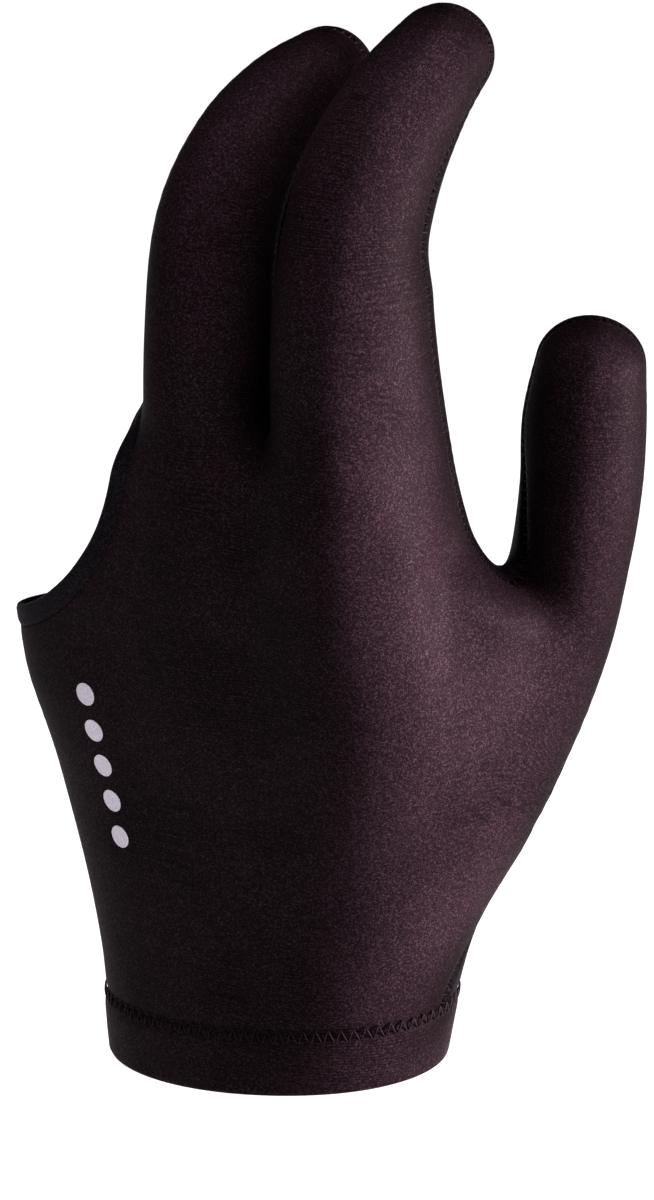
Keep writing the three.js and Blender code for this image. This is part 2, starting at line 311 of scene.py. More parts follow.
def shares_of_parts(points):
    """How much each part of the hand counts at a point, with its offset and its place along the hand."""
    shares, offsets, places = [], [], []
    for each in hand_parts:
        distance, offset, passed = each.reach(points)
        shares.append(each.hold * np.exp(-np.maximum(distance, -4) / SEAM_BLEND))
        offsets.append(offset @ each.palmward)
        places.append(passed)
    shares = np.array(shares)
    return shares / shares.sum(0), np.array(offsets), np.array(places)


def seam_side(points):
    shares, offsets, _ = shares_of_parts(points)
    return (shares * offsets).sum(0)


def above_rim(points):
    return points[:, 2] - points[:, :2] @ RIM_LEAN


def cut_out_side(points):
    flat = points[:, [0, 2]]
    nearest = np.full(len(points), np.inf)
    side = np.ones(len(points))
    for start, end in zip(cut_out_line[:-1], cut_out_line[1:]):
        step = end - start
        away = flat - start
        turn = step[0] * away[:, 1] - step[1] * away[:, 0]
        away = away - np.clip(away @ step / (step @ step), 0, 1)[:, None] * step
        distance = np.hypot(away[:, 0], away[:, 1])
        closer = distance < nearest
        nearest[closer] = distance[closer]
        side[closer] = np.sign(turn[closer])
    clear = CUT_OUT_HOLD * (middle_finger.reach(points)[0] - CUT_OUT_CLEAR)
    return smooth_min(nearest * side, clear, CUT_OUT_ROUND)


# %% [markdown]
# A point is brought onto the skin by walking down the slope of the skin function, and onto a cut by walking
# along the skin. Slopes are measured from four probes at the corners of a small tetrahedron round the
# point.

# %% Slopes and moves
PROBE = 0.25
LEAST_SLOPE, LEAST_CUT_SLOPE = 0.2, 0.05  # squares of slopes count as this at least, so no step is too long
corners = np.array([(1, 1, 1), (1, -1, -1), (-1, 1, -1), (-1, -1, 1)], float)


def slope_of(side, points):
    probes = (points[None] + PROBE * corners[:, None]).reshape(-1, 3)
    levels = side(probes).reshape(4, -1)
    slope = np.einsum("kn,kc->nc", levels, corners) / (4 * PROBE)
    return levels.mean(0), slope


def onto_skin(points, passes=2):
    for _ in range(passes):
        level, slope = slope_of(skin, points)
        points = points - slope * (level / np.maximum((slope ** 2).sum(1), LEAST_SLOPE))[:, None]
    return points


def outward(points):
    return unit(slope_of(skin, points)[1])


def slope_along(points, side):
    out = outward(points)
    level, slope = slope_of(side, points)
    return level, slope - (slope * out).sum(1)[:, None] * out


def onto_cut(points, side, passes=3):
    for _ in range(passes):
        level, slope = slope_along(points, side)
        steep = np.maximum((slope ** 2).sum(1), LEAST_CUT_SLOPE)
        points = onto_skin(points - slope * (level / steep)[:, None], 1)
    return points


# %% [markdown]
# The net has one point in each small cube that the skin passes through, joined to its neighbours. This is
# known as surface nets, and it makes even, nearly square meshes. Only cubes near the skin are looked at,
# found on a grid four times as coarse. Two gentle smoothing passes then even out the spacing of the points.

# %% Lay the net over the hand
SPACING = 0.86
COARSE = 4
NEAR_SKIN = 1.8  # the coarse cubes whose corners lie within this many cube sizes of the skin are looked at


def grid_levels(low, high):
    counts = (np.ceil((high - low) / (SPACING * COARSE)).astype(int)) * COARSE + 1
    axes = [low[i] + SPACING * np.arange(counts[i]) for i in range(3)]
    rough_axes = [axis[::COARSE] for axis in axes]
    rough_points = np.stack(np.meshgrid(*rough_axes, indexing="ij"), -1).reshape(-1, 3)
    rough = skin(rough_points).reshape([len(axis) for axis in rough_axes])
    levels = np.repeat(np.repeat(np.repeat(rough, COARSE, 0), COARSE, 1), COARSE, 2)
    levels = levels[:counts[0], :counts[1], :counts[2]].copy()
    near = np.abs(rough) < SPACING * COARSE * NEAR_SKIN
    blocks = np.zeros([len(axis) - 1 for axis in rough_axes], bool)
    for i, j, k in np.ndindex(2, 2, 2):
        blocks |= near[i:i + blocks.shape[0], j:j + blocks.shape[1], k:k + blocks.shape[2]]
    wanted = np.zeros(counts, bool)
    first = np.argwhere(blocks) * COARSE
    for step in np.ndindex(COARSE + 1, COARSE + 1, COARSE + 1):
        wanted[tuple((first + step).T)] = True
    places = np.argwhere(wanted)
    levels[wanted] = skin(low + SPACING * places)
    return levels


def net_over(low, high):
    levels = grid_levels(low, high)
    inside = levels < 0
    cells = np.array(levels.shape) - 1
    steps = list(np.ndindex(2, 2, 2))

    def at(array, step):
        return array[step[0]:step[0] + cells[0], step[1]:step[1] + cells[1], step[2]:step[2] + cells[2]]

    count = sum(at(inside, step).astype(np.int8) for step in steps)
    crossed = (count > 0) & (count < 8)
    places = np.argwhere(crossed)
    number = np.full(cells, -1)
    number[crossed] = np.arange(len(places))
    total = np.zeros((len(places), 3))
    crossings = np.zeros(len(places))
    for start in steps:
        for axis in range(3):
            if start[axis]:
                continue
            end = tuple(v + (i == axis) for i, v in enumerate(start))
            a = levels[tuple((places + start).T)]
            b = levels[tuple((places + end).T)]
            hit = (a < 0) != (b < 0)
            share = np.where(hit, a / np.where(hit, a - b, 1), 0)
            spot = np.array(start, float) + share[:, None] * (np.arange(3) == axis)
            total += np.where(hit[:, None], spot, 0)
            crossings += hit
    points = low + SPACING * (places + total / crossings[:, None])
    faces = []
    for axis in range(3):
        u, v = (axis + 1) % 3, (axis + 2) % 3
        ahead = tuple(slice(1, None) if i == axis else slice(None) for i in range(3))
        behind = tuple(slice(None, -1) if i == axis else slice(None) for i in range(3))
        edges = np.argwhere(inside[ahead] != inside[behind])
        edges = edges[(edges[:, u] > 0) & (edges[:, v] > 0)]
        ring = []
        for du, dv in ((0, 0), (1, 0), (1, 1), (0, 1)):
            cell = edges.copy()
            cell[:, u] -= du
            cell[:, v] -= dv
            ring.append(number[tuple(cell.T)])
        ring = np.array(ring).T
        leaving = inside[tuple(edges.T)]
        ring[~leaving] = ring[~leaving][:, ::-1]
        faces.append(ring)
    quads = np.vstack(faces)
    a, b, c, d = quads.T
    short = lengths_of(points[a] - points[c]) <= lengths_of(points[b] - points[d])
    triangles = np.vstack([
        np.stack([a, b, c], 1)[short], np.stack([a, c, d], 1)[short],
        np.stack([a, b, d], 1)[~short], np.stack([b, c, d], 1)[~short],
    ])
    return onto_skin(points), triangles


def edges_of(faces):
    return np.vstack([faces[:, [0, 1]], faces[:, [1, 2]], faces[:, [2, 0]]])


def evened(points, faces, passes):
    edges = edges_of(faces)
    for _ in range(passes):
        total = np.zeros_like(points)
        for axis in range(3):
            total[:, axis] = np.bincount(edges[:, 0], points[edges[:, 1], axis], len(points))
        count = np.bincount(edges[:, 0], minlength=len(points))
        points = onto_skin((points + total / count[:, None]) / 2, 1)
    return points


net_low = np.array([-50.0, -42.0, -9.0])  # a box round the whole hand
net_high = np.array([66.0, 36.0, 190.0])
net_points, net_faces = net_over(net_low, net_high)
net_points = evened(net_points, net_faces, 2)
facing = np.cross(net_points[net_faces[:, 1]] - net_points[net_faces[:, 0]],
                  net_points[net_faces[:, 2]] - net_points[net_faces[:, 0]])
if (facing * (net_points[net_faces].mean(1) - net_points.mean(0))).sum() < 0:
    net_faces = net_faces[:, ::-1]
print("net:", len(net_points), "points,", len(net_faces), "triangles")

# %% [markdown]
# Cutting cloth: every triangle that crosses a cut line is split along it, and points that already lie close
# to the line slide onto it, so no slivers are left. It is what Blender's bisect does with a plane, but
# along a curved line.

# %% Cut the net
SNAP = 0.3  # points nearer to the line than this share of the spacing slide onto it
NEAR_CUT = 3  # and only points within this many spacings are measured exactly


def compact(points, faces):
    used, places = np.unique(faces, return_inverse=True)
    return points[used], places.reshape(-1, 3)


def divide(points, faces, side, gap=0.0):
    """The part of the net where side is under 0, and the part where it is over 0."""
    points = points.copy()
    level = side(points)
    near = np.flatnonzero(np.abs(level) < NEAR_CUT * SPACING)
    exact, slope = slope_along(points[near], side)
    snapped = np.zeros(len(points), bool)
    snapped[near] = np.abs(exact) < SNAP * SPACING * lengths_of(slope)
    for face in faces[snapped[faces].all(1)]:
        snapped[face[np.argmax(np.abs(level[face]))]] = False
    points[snapped] = onto_cut(points[snapped], side)
    level[snapped] = 0
    edges = np.sort(edges_of(faces), axis=1)
    edges = np.unique(edges[level[edges[:, 0]] * level[edges[:, 1]] < 0], axis=0)
    share = level[edges[:, 0]] / (level[edges[:, 0]] - level[edges[:, 1]])
    new = points[edges[:, 0]] + share[:, None] * (points[edges[:, 1]] - points[edges[:, 0]])
    number = {tuple(edge): len(points) + i for i, edge in enumerate(edges.tolist())}
    points = np.vstack([points, onto_cut(new, side)])
    level = np.concatenate([level, np.zeros(len(new))])
    on_cut = np.flatnonzero(level == 0)
    drawn = unit(slope_along(points[on_cut], side)[1]) * gap / 2
    parts = []
    for sign in (-1, 1):
        signed = level[faces] * sign
        whole = (signed >= 0).all(1) & (signed > 0).any(1)
        kept = [faces[whole]]
        for face in faces[(signed > 0).any(1) & (signed < 0).any(1)].tolist():
            loop = []
            for n, a in enumerate(face):
                b = face[(n + 1) % 3]
                if level[a] * sign >= 0:
                    loop.append(a)
                if level[a] * level[b] < 0:
                    loop.append(number[(min(a, b), max(a, b))])
            kept.append([(loop[0], loop[n - 1], loop[n]) for n in range(2, len(loop))])
        moved = points.copy()
        moved[on_cut] += sign * drawn
        parts.append(compact(moved, np.vstack(kept)))
    return parts


PANEL_GAP = 0.06
whole_glove = divide(net_points, net_faces, above_rim)[1]
hem_net, upper_net = divide(*whole_glove, lambda points: above_rim(points) - HEM_HEIGHT, PANEL_GAP)
cloth_net = divide(*upper_net, cut_out_side)[0]
panels_net, edge_net = divide(*cloth_net, lambda points: cut_out_side(points) + EDGE_WIDTH, PANEL_GAP)
back_net, palm_net = divide(*panels_net, seam_side, PANEL_GAP)
nets = {"back": back_net, "palm": palm_net, "wrist hem": hem_net, "opening hem": edge_net}
print("triangles in each net:", {name: len(faces) for name, (_, faces) in nets.items()})

# %% [markdown]
# The seam runs along the outline of the hand. Its path is picked up from the cut edge of the back panel,
# point by point, so that the groove, the puckers and the thread can all follow the very same line.

# %% Follow the seam
JOINED = 0.2  # points this near to a cut belong to it
SHORTEST = 12  # points in a path that counts as seam
PATHS_APART = 1000  # each path's lengths start this much higher than the last one's


def border(faces):
    """The directed edges that only one triangle has."""
    edges = edges_of(faces)
    keys = edges[:, 0].astype(np.int64) * (faces.max() + 1) + edges[:, 1]
    back_keys = edges[:, 1].astype(np.int64) * (faces.max() + 1) + edges[:, 0]
    return edges[~np.isin(keys, back_keys)]


def chains(edges):
    """Directed edges joined end to end, as lists of points."""
    after = dict(edges.tolist())
    starts = [a for a in after if a not in set(after.values())]
    found = []
    while after:
        here = starts.pop() if starts else next(iter(after))
        chain = [here]
        while here in after:
            here = after.pop(here)
            chain.append(here)
        found.append(chain)
    return found


back_border = border(back_net[1])
on_hem = above_rim(back_net[0]) < HEM_HEIGHT + JOINED
by_cut_out = cut_out_side(back_net[0]) > -EDGE_WIDTH - JOINED
on_seam = ~on_hem & ~by_cut_out
seam_edges = back_border[on_seam[back_border].all(1)]
seam_paths = [back_net[0][chain] for chain in chains(seam_edges) if len(chain) > SHORTEST]
seam_points = np.vstack(seam_paths)
steps_along = [lengths_of(np.diff(path, axis=0)) for path in seam_paths]
seam_runs = np.concatenate([
    np.concatenate([[0], np.cumsum(steps)]) + PATHS_APART * i for i, steps in enumerate(steps_along)
])
seam_tree = KDTree(len(seam_points))
for i, point in enumerate(seam_points):
    seam_tree.insert(point, i)
seam_tree.balance()
print("seam lengths in mm:", [round(float(steps.sum())) for steps in steps_along])


def near_seam(points):
    """Distance of each point to the seam, and its place along it."""
    found = [seam_tree.find(point) for point in points.tolist()]
    return np.array([hit[2] for hit in found]), seam_runs[[hit[1] for hit in found]]


# %% [markdown]
# Cloth isn't a bare offset of the hand. It dips into a groove at the seam, rolls at the turned edges and
# stands out where the hem is double. rise_of() adds these up for each piece, in millimetres along the
# outward direction.

# %% How far the cloth stands out
CLOTH = 1.2
SEAM_DEPTH, SEAM_REACH = 0.62, 0.95
HEM_SEAM_DEPTH, HEM_SEAM_REACH = 0.3, 1.2  # the hem's double cloth dips less at the seam, and more widely
HEM_PROUD, HEM_ROLL = 0.45, 1.5  # a roll is the distance from its edge in which a piece rises
HEM_DIP, HEM_DIP_REACH = 0.22, 1.1  # a dip is how far two pieces sink where they meet
EDGE_PROUD, EDGE_ROLL = 0.25, 0.7
EDGE_DIP, EDGE_DIP_REACH = 0.1, 0.8


def hump(distance, reach):
    return np.exp(-(distance / reach) ** 2)


def panel_rise(points, to_seam):
    rise = -SEAM_DEPTH * hump(to_seam, SEAM_REACH)
    rise -= HEM_DIP * hump(above_rim(points) - HEM_HEIGHT, HEM_DIP_REACH)
    rise -= EDGE_DIP * hump(cut_out_side(points) + EDGE_WIDTH, EDGE_DIP_REACH)
    return rise


def wrist_hem_rise(points, to_seam):
    below_top = HEM_HEIGHT - above_rim(points)
    rise = -HEM_DIP + (HEM_DIP + HEM_PROUD) * (1 - hump(below_top, HEM_ROLL))
    return rise - HEM_SEAM_DEPTH * hump(to_seam, HEM_SEAM_REACH)


def opening_hem_rise(points, to_seam):
    from_panel = cut_out_side(points) + EDGE_WIDTH
    return -EDGE_DIP + (EDGE_DIP + EDGE_PROUD) * (1 - hump(from_panel, EDGE_ROLL))


# %% [markdown]
# A piece of cloth is its outer layer, its inner layer, and an edge that joins them. Free edges are turned
# hems, so they are made round; edges that meet another piece are nearly flat. Solidify would also give a
# thickness, but it leaves square edges everywhere.

# %% Give the cloth its thickness
EDGE_ROWS = (45, 90, 135)  # angles of the points that round an edge off, in degrees
FLAT_EDGE = 0.03
RIM_TURN = 6  # the wall turns parallel to the rim within this height


def cloth_piece(name, net, rise_of, thickness):
    points, faces = net
    to_seam, along_seam = near_seam(points)
    shares, _, places = shares_of_parts(points)
    course = (shares * places).sum(0)
    out = outward(points)
    low = np.clip(1 - above_rim(points) / RIM_TURN, 0, 1)[:, None] ** 2
    level_out = out.copy()
    level_out[:, 2] = out[:, :2] @ RIM_LEAN
    out = unit(out * (1 - low) + unit(level_out) * low)
    outer = points + out * rise_of(points, to_seam)[:, None]
    inner = outer - out * thickness
    edges = border(faces)
    away = np.zeros_like(points)
    for a, b in edges:
        direction = np.cross(points[b] - points[a], out[a])
        away[a] += direction
        away[b] += direction
    rim = np.unique(edges)
    free = (above_rim(points[rim]) < JOINED) | (cut_out_side(points[rim]) > -JOINED)
    bulge = np.where(free, 1.0, FLAT_EDGE)
    rows = [outer, inner]
    place = {int(a): i for i, a in enumerate(rim)}
    offset = 2 * len(points)
    middle, half = (outer[rim] + inner[rim]) / 2, thickness / 2
    for degrees in EDGE_ROWS:
        angle = math.radians(degrees)
        side = unit(away[rim]) * (math.sin(angle) * half * bulge)[:, None]
        rows.append(middle + out[rim] * (math.cos(angle) * half) + side)
    walls = []
    for a, b in edges.tolist():
        ladder_a = [a, *(offset + n * len(rim) + place[a] for n in range(len(EDGE_ROWS))), a + len(points)]
        ladder_b = [b, *(offset + n * len(rim) + place[b] for n in range(len(EDGE_ROWS))), b + len(points)]
        for n in range(len(ladder_a) - 1):
            walls.append((ladder_b[n], ladder_a[n], ladder_a[n + 1], ladder_b[n + 1]))
    mesh = bpy.data.meshes.new(name)
    inside_out = faces[:, ::-1] + len(points)
    mesh.from_pydata((np.vstack(rows) * MM).tolist(), [], [*faces.tolist(), *inside_out.tolist(), *walls])
    mesh.polygons.foreach_set("use_smooth", np.ones(len(mesh.polygons), bool))
    for label, values in (("course", course), ("to_seam", to_seam), ("along_seam", along_seam)):
        full = np.concatenate([values, values, *[values[rim]] * len(EDGE_ROWS)])
        mesh.attributes.new(label, "FLOAT", "POINT").data.foreach_set("value", full.astype(np.float32))
    mesh.update()
    sides = points[faces]
    area = lengths_of(np.cross(sides[:, 1] - sides[:, 0], sides[:, 2] - sides[:, 0])).sum() / 2
    print(name, "has", 2 * len(faces) + 2 * len(walls), "triangles and", round(float(area)), "mm2 of cloth")
    return placed(name, mesh)


back_cloth = cloth_piece("back_cloth", back_net, panel_rise, CLOTH)
palm_cloth = cloth_piece("palm_cloth", palm_net, panel_rise, CLOTH)
wrist_band = cloth_piece("wrist_band", hem_net, wrist_hem_rise, CLOTH + HEM_PROUD)
turned_edge = cloth_piece("turned_edge", edge_net, opening_hem_rise, CLOTH + EDGE_PROUD)

# %% [markdown]
# Nodes are written as sums. A Value wraps an output socket, and +, -, * and / on Values add Math nodes, so
# a finish reads like a formula. Every other node comes from one method, which sets its settings before its
# sockets.

# %% Nodes as sums


class Value:
    """What a node gives, used in sums as a plain number is."""

    def __init__(self, nodes, node, socket):
        self.nodes, self.node, self.socket = nodes, node, socket

    def out(self, name):
        return Value(self.nodes, self.node, self.node.outputs[name])

    def math(self, operation, *numbers):
        return self.nodes.add("ShaderNodeMath", {"operation": operation}, dict(enumerate(numbers)))

    def __add__(self, other):
        return self.math("ADD", self, other)

    def __sub__(self, other):
        return self.math("SUBTRACT", self, other)

    def __mul__(self, other):
        return self.math("MULTIPLY", self, other)

    def __truediv__(self, other):
        return self.math("DIVIDE", self, other)

    def __pow__(self, other):
        return self.math("POWER", self, other)

    def __radd__(self, other):
        return self.math("ADD", other, self)

    def __rsub__(self, other):
        return self.math("SUBTRACT", other, self)

    def __rmul__(self, other):
        return self.math("MULTIPLY", other, self)

    def __rtruediv__(self, other):
        return self.math("DIVIDE", other, self)


class Nodes:
    """A node tree, and the one method that adds to it."""

    def __init__(self, tree):
        self.tree = tree

    def add(self, kind, settings=None, values=None, out=0):
        node = self.tree.nodes.new(kind)
        for name, setting in (settings or {}).items():
            setattr(node, name, setting)
        for name, value in (values or {}).items():
            if isinstance(value, Value):
                self.tree.links.new(value.socket, node.inputs[name])
            else:
                node.inputs[name].default_value = value
        return Value(self, node, node.outputs[out] if len(node.outputs) else None)

    def mixed(self, share, first, second):
        return self.add("ShaderNodeMix", {"data_type": "RGBA"}, {0: share, 6: first, 7: second}, 2)

    def ramp(self, value, low, high):
        """0 where value is under low, 1 where it is over high."""
        values = {"Value": value, "From Min": low, "From Max": high}
        return self.add("ShaderNodeMapRange", {"interpolation_type": "SMOOTHSTEP"}, values)

    def noise(self, place, size, detail=2.0):
        """Smooth random values, with spots of about this size in millimetres."""
        values = {"Vector": place, "Scale": 1 / (size * MM), "Detail": detail}
        return self.add("ShaderNodeTexNoise", values=values)

    def bump(self, height, strength):
        values = {"Height": height * MM, "Distance": 1.0, "Strength": strength}
        return self.add("ShaderNodeBump", values=values)


def new_finish(name):
    finish = bpy.data.materials.new(name)
    finish.use_nodes = True
    finish.node_tree.nodes.clear()
    return finish, Nodes(finish.node_tree)


# %% [markdown]
# The cloth is a fine, shiny warp knit of nylon and elastane. From reading distance the loops are too small
# to see, and the eye catches glints of light on single filaments and faint lines of stitches across the
# hand.
# So the finish has small cells with a random brightness, whose brightest ones are painted glints, waves
# along the hand that show in patches, and a slow mottle. Shade is painted into it too: darkest in the
# groove of the seam and getting lighter away from it. A picture of the knit would need a flat layout and
# would repeat, and cells in space do neither.

# %% The knit cloth
LOOP = 0.21  # width of a stitch of the knit, in millimetres
COURSE = 0.52  # height of two rows of stitches
WOBBLE = 0.2  # how far the mottle bends the lines of stitches
GRAIN, MOTTLE, PATCH = 0.36, 6, 22  # sizes of the fine grain, the slow mottle and the patches of lines
LOOP_RELIEF, COURSE_RELIEF, GRAIN_RELIEF = 0.04, 0.006, 0.035
PUCKER = 1.45  # length of a stitch of the seam
PUCKER_RELIEF = 0.11
PUCKER_REACH = (0.3, 2.6)  # the dimples of the stitches fade between these distances from the seam
# painted shade in the groove of the seam fades between these distances
PAINTED_GROOVE_REACH = (0.2, 0.8)  # the dark of the groove fades between these distances from the seam
# painted shade: the cloth beside the seam is darkened, and gets lighter again between these distances
PAINTED_SHADE_REACH = (0.5, 16)  # and the cloth beside it gets lighter between these


def dimmed(shade, share):
    return [*(v * share for v in shade), 1]


def knit_finish(name, shade, painted_glint, lines):
    finish, nodes = new_finish(name)
    place = nodes.add("ShaderNodeTexCoord", out="Object")
    course = nodes.add("ShaderNodeAttribute", {"attribute_name": "course"}, out="Fac")
    to_seam = nodes.add("ShaderNodeAttribute", {"attribute_name": "to_seam"}, out="Fac")
    along_seam = nodes.add("ShaderNodeAttribute", {"attribute_name": "along_seam"}, out="Fac")
    loops = {"Vector": place, "Scale": 1 / (LOOP * MM)}
    cells = nodes.add("ShaderNodeTexVoronoi", values=loops, out="Color")
    chance = nodes.add("ShaderNodeSeparateColor", values={0: cells})
    grain = nodes.noise(place, GRAIN)
    mottle = nodes.noise(place, MOTTLE, 3.0)
    climb = (course + mottle * WOBBLE) * (2 * math.pi / COURSE)
    rows = climb.math("SINE", climb)
    shown = nodes.ramp(nodes.noise(place, PATCH), 0.45, 0.62)
    bright = chance ** 4
    tone = nodes.mixed(nodes.ramp(grain, 0.3, 0.7), dimmed(shade, 0.65), dimmed(shade, 1.35))
    # painted glints: the brightest random cells take the glint colour, standing in for light caught by
    # filaments
    tone = nodes.mixed(bright * 0.75, tone, [*painted_glint, 1])
    tone = nodes.mixed((rows * 0.5 + 0.5) * shown * lines, tone, dimmed(shade, 0.1))
    # painted shade over a wide band beside the seam, darkest near it
    painted_shade_by_seam = 1 - nodes.ramp(to_seam, *PAINTED_SHADE_REACH)
    tone = nodes.mixed(painted_shade_by_seam * 0.85, tone, dimmed(shade, 0.05))
    turn = along_seam * (2 * math.pi / PUCKER)
    stitch = turn.math("SINE", turn)
    by_seam = 1 - nodes.ramp(to_seam, *PUCKER_REACH)
    # painted shade in the seam's groove, deeper or lighter with the stitches
    painted_groove_shade = 1 - nodes.ramp(to_seam, *PAINTED_GROOVE_REACH)
    tone = nodes.mixed(painted_groove_shade * (0.7 - stitch * 0.3), tone, dimmed(shade, 0.12))
    relief = grain * GRAIN_RELIEF + chance * LOOP_RELIEF + rows * shown * COURSE_RELIEF
    relief = relief + stitch * by_seam * PUCKER_RELIEF
    surface = nodes.add("ShaderNodeBsdfPrincipled", values={
        "Base Color": tone,
        "Roughness": 0.54 - bright * 0.15 + mottle * 0.08,
        "Specular IOR Level": 0.01,
        "Specular Tint": (1, 0.72, 0.83, 1),
        "Sheen Weight": 0.005,
        "Sheen Roughness": 0.4,
        "Sheen Tint": (1, 0.62, 0.78, 1),
        "Normal": nodes.bump(relief, 0.9),
    })
    nodes.add("ShaderNodeOutputMaterial", values={"Surface": surface})
    return finish


PLUM_BLACK = (0.005, 0.0029, 0.0039)
BLUE_BLACK = (0.0034, 0.0026, 0.0038)
# colour of the painted glints on the back and the hem; the palm and the edge take their own
PAINTED_PLUM_GLINT = (0.03, 0.018, 0.0236)
back_finish = knit_finish("black_knit", PLUM_BLACK, PAINTED_PLUM_GLINT, 0.55)
palm_finish = knit_finish("black_knit_palm", BLUE_BLACK, (0.02, 0.017, 0.024), 0.45)
hem_finish = knit_finish("black_knit_double", PLUM_BLACK, PAINTED_PLUM_GLINT, 0.55)
edge_finish = knit_finish("black_knit_edge", BLUE_BLACK, (0.02, 0.018, 0.025), 0.2)
finishes = [back_finish, palm_finish, hem_finish, edge_finish]
for piece, finish in zip((back_cloth, palm_cloth, wrist_band, turned_edge), finishes):
    piece.data.materials.append(finish)
print("cloth finishes:", [finish.name for finish in finishes])

# %% [markdown]
# Thread is wound from two strands, so its finish has slanting stripes in relief. Polyester thread is a
# little glossier than the cloth it holds.

# %% The thread
TWIST = 0.35  # from one strand to the next
STRAND_RELIEF = 0.04
FLUFF = 0.1  # size of the spots of its colour


def thread_finish():
    finish, nodes = new_finish("black_thread")
    place = nodes.add("ShaderNodeTexCoord", out="Object")
    turned = nodes.add("ShaderNodeMapping", values={"Vector": place, "Rotation": (0.6, 0.4, 0.5)})
    waves = 1 / (TWIST * MM * 2 * math.pi)
    strands = nodes.add("ShaderNodeTexWave", values={"Vector": turned, "Scale": waves})
    tone = nodes.mixed(nodes.noise(place, FLUFF), (0.002, 0.0014, 0.0018, 1), (0.007, 0.0045, 0.006, 1))
    surface = nodes.add("ShaderNodeBsdfPrincipled", values={
        "Base Color": tone, "Roughness": 0.6, "Specular IOR Level": 0.06,
        "Specular Tint": (1, 0.75, 0.85, 1), "Normal": nodes.bump(strands * STRAND_RELIEF, 0.8),
    })
    nodes.add("ShaderNodeOutputMaterial", values={"Surface": surface})
    return finish


black_thread = thread_finish()

# %% [markdown]
# The hem is held by a zigzag stitch, which can stretch with the cloth. A line of points round the wrist
# carries two directions, out of the cloth and up the hand. Geometry Nodes then resample that line, push
# every point up or down by a triangle wave and out by a low arch, so each leg dips into the cloth at both
# ends, and sweep a small circle along it.

# %% Lines for the thread to follow


def thread_line(name, paths, closed=False):
    """A mesh of bare edges along the paths, with the outward direction kept on every point."""
    points = np.vstack(paths)
    edges, start = [], 0
    for path in paths:
        edges += [(start + i, start + i + 1) for i in range(len(path) - 1)]
        if closed:
            edges.append((start + len(path) - 1, start))
        start += len(path)
    mesh = bpy.data.meshes.new(name)
    mesh.from_pydata((points * MM).tolist(), edges, [])
    kept = mesh.attributes.new("outward", "FLOAT_VECTOR", "POINT")
    kept.data.foreach_set("vector", outward(points).ravel())
    return placed(name, mesh)


def stitch_tree(name, inputs):
    tree = bpy.data.node_groups.new(name, "GeometryNodeTree")
    tree.interface.new_socket("Geometry", in_out="INPUT", socket_type="NodeSocketGeometry")
    for label, kind in inputs:
        tree.interface.new_socket(label, in_out="INPUT", socket_type=kind)
    tree.interface.new_socket("Geometry", in_out="OUTPUT", socket_type="NodeSocketGeometry")
    return tree, Nodes(tree)


def kept_outward(nodes):
    return nodes.add("GeometryNodeInputNamedAttribute", {"data_type": "FLOAT_VECTOR"}, {"Name": "outward"})


def swept(nodes, curve, radius, sides, caps=False):
    ring = nodes.add("GeometryNodeCurvePrimitiveCircle", values={"Resolution": sides, "Radius": radius})
    values = {"Curve": curve, "Profile Curve": ring, "Fill Caps": caps}
    return nodes.add("GeometryNodeCurveToMesh", values=values)


def give_out(nodes, thread, finish):
    thread = nodes.add("GeometryNodeRealizeInstances", values={"Geometry": thread})
    thread = nodes.add("GeometryNodeSetMaterial", values={"Geometry": thread, "Material": finish})
    nodes.add("NodeGroupOutput", values={"Geometry": thread})


def grown(line, tree, values, name):
    """The line after its nodes, as a plain mesh of its own."""
    growth = line.modifiers.new(name, "NODES")
    growth.node_group = tree
    sockets = {item.name: item.identifier for item in tree.interface.items_tree if item.in_out == "INPUT"}
    for label, value in values.items():
        growth[sockets[label]] = value
    evaluated = line.evaluated_get(bpy.context.evaluated_depsgraph_get())
    mesh = bpy.data.meshes.new_from_object(evaluated)
    mesh.name = name
    bpy.data.objects.remove(line)
    mesh.polygons.foreach_set("use_smooth", np.ones(len(mesh.polygons), bool))
    print(name, "has", sum(len(polygon.vertices) - 2 for polygon in mesh.polygons), "triangles")
    return placed(name, mesh)


# %% The zigzag of the hem
ZIGZAG_LEG = 6  # points in one leg
BURIED = 0.35  # share of a leg's arch that lies in the cloth


def zigzag_tree():
    tree, nodes = stitch_tree("zigzag", (
        ("Pitch", "NodeSocketFloat"), ("Height", "NodeSocketFloat"), ("Thread", "NodeSocketFloat"),
        ("Arch", "NodeSocketFloat"), ("Finish", "NodeSocketMaterial"),
    ))
    given = nodes.add("NodeGroupInput")
    curve = nodes.add("GeometryNodeMeshToCurve", values={"Mesh": given})
    length = nodes.add("GeometryNodeCurveLength", values={"Curve": curve})
    pitches = length / given.out("Pitch")
    legs = pitches.math("ROUND", pitches) * (2 * ZIGZAG_LEG)
    curve = nodes.add("GeometryNodeResampleCurve", {"mode": "COUNT"}, {"Curve": curve, "Count": legs})
    outwards = kept_outward(nodes)
    tangent = nodes.add("GeometryNodeInputTangent")
    upwards = nodes.add("ShaderNodeVectorMath", {"operation": "CROSS_PRODUCT"}, {0: outwards, 1: tangent})
    leg = nodes.add("GeometryNodeInputIndex") / float(ZIGZAG_LEG)
    swing = leg.math("PINGPONG", leg, 1.0) - 0.5
    half_turn = leg.math("FRACT", leg) * math.pi
    bow = half_turn.math("SINE", half_turn)
    sideways = nodes.add("ShaderNodeVectorMath", {"operation": "SCALE"},
                         {0: upwards, "Scale": swing * given.out("Height")})
    lifted = nodes.add("ShaderNodeVectorMath", {"operation": "SCALE"},
                       {0: outwards, "Scale": (bow - BURIED) * given.out("Arch")})
    moved = nodes.add("ShaderNodeVectorMath", {"operation": "ADD"}, {0: sideways, 1: lifted})
    curve = nodes.add("GeometryNodeSetPosition", values={"Geometry": curve, "Offset": moved})
    give_out(nodes, swept(nodes, curve, given.out("Thread"), 6), given.out("Finish"))
    return tree


